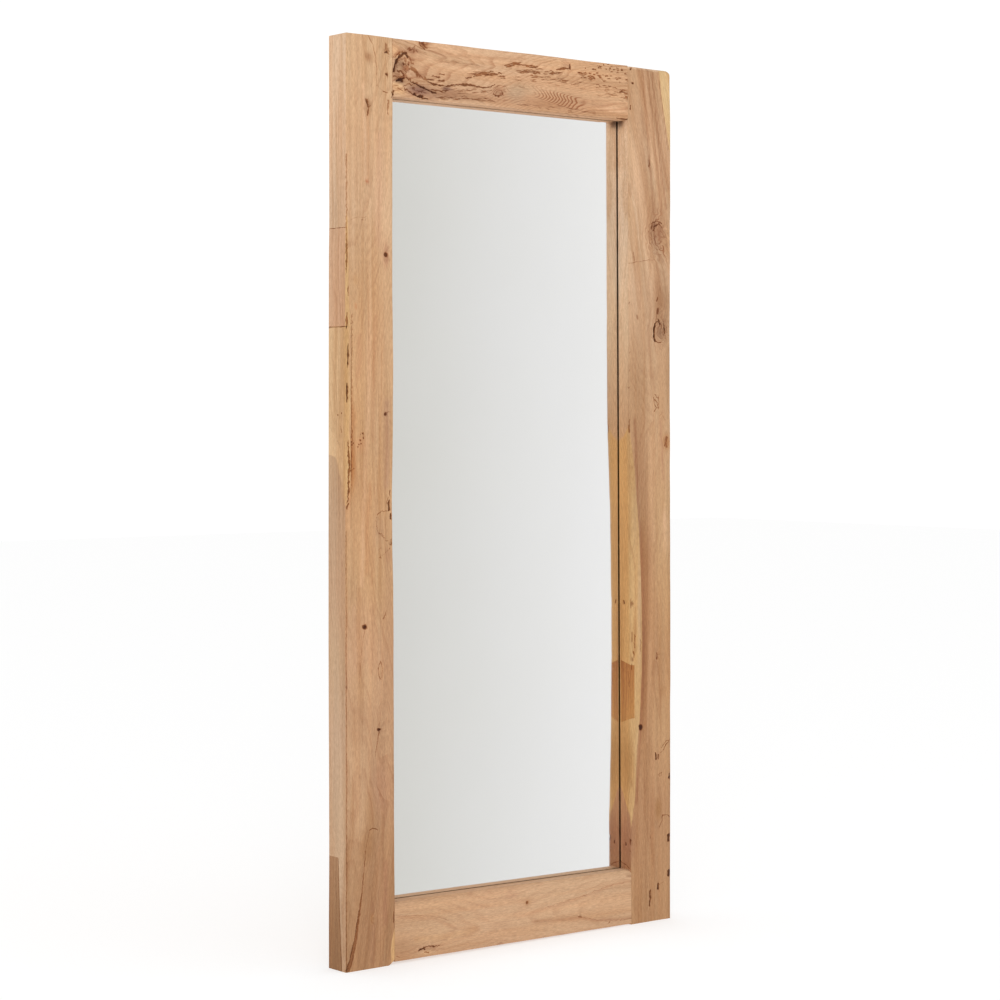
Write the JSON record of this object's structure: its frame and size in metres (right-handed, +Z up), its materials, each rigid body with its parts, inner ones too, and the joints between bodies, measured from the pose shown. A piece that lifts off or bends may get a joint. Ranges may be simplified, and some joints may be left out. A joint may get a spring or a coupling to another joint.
{
  "type": "floor mirror",
  "caption": "Tall rectangular floor mirror that leans on or hangs from a wall, in a thick rustic teak frame with patched boards, hinged hanging rings and rubber wall bumpers.",
  "frame": {"origin": "bottom centre of the whole object, wall bumpers included, on the floor under the stiles", "axes": "+X along the width to the viewer's right, +Y from the glass towards the wall, +Z up along the stiles"},
  "size_m": [0.8, 0.063, 1.7],
  "materials": {
    "left_stile_teak": "planed and oiled reclaimed teak",
    "right_stile_teak": "planed and oiled reclaimed teak",
    "top_rail_teak": "planed and oiled reclaimed teak, rustic with knots and fissures",
    "bottom_rail_teak": "planed and oiled teak",
    "foot_patch_teak": "dark teak heartwood",
    "corner_patch_sapwood": "pale yellow teak sapwood",
    "side_patch_teak": "pinkish teak",
    "inner_patch_teak": "red-brown teak heartwood",
    "dowel_beech": "beech",
    "clear_glass": "polished float glass",
    "mirror_silver": "silvered, with a painted back",
    "cushion_foam": "closed-cell foam",
    "setting_rubber": "hard rubber",
    "panel_plywood": "sanded plywood",
    "screw_zinc": "zinc plated",
    "hanger_zinc": "zinc plated steel strap",
    "ring_steel": "bright plated wire",
    "bumper_rubber": "soft black rubber"
  },
  "bodies": {
    "mirror": {"left_stile": "left_stile_teak", "right_stile": "right_stile_teak", "top_rail": "top_rail_teak", "bottom_rail": "bottom_rail_teak", "left_foot_patch": "foot_patch_teak", "left_corner_patch": "corner_patch_sapwood", "left_side_patch": "side_patch_teak", "right_inner_patch": "inner_patch_teak", "top_left_dowels": "dowel_beech", "top_right_dowels": "dowel_beech", "bottom_left_dowels": "dowel_beech", "bottom_right_dowels": "dowel_beech", "mirror_glass": "clear_glass", "silver_backing": "mirror_silver", "cushion_strips": "cushion_foam", "setting_blocks": "setting_rubber", "backing_panel": "panel_plywood", "panel_screws": "screw_zinc", "wall_bumpers": "bumper_rubber", "left_hanger_strap": "hanger_zinc", "right_hanger_strap": "hanger_zinc", "left_hanger_screws": "screw_zinc", "right_hanger_screws": "screw_zinc"},
    "left_ring": {"left_hanger_ring": "ring_steel"},
    "right_ring": {"right_hanger_ring": "ring_steel"}
  },
  "joints": [
    {"name": "left_ring_swing", "type": "hinge", "parent": "mirror", "child": "left_ring", "pos_m": [-0.36, 0.02685, 1.4], "axis": [1, 0, 0], "range_deg": [0, 174]},
    {"name": "right_ring_swing", "type": "hinge", "parent": "mirror", "child": "right_ring", "pos_m": [0.36, 0.02685, 1.4], "axis": [1, 0, 0], "range_deg": [0, 174]}
  ]
}
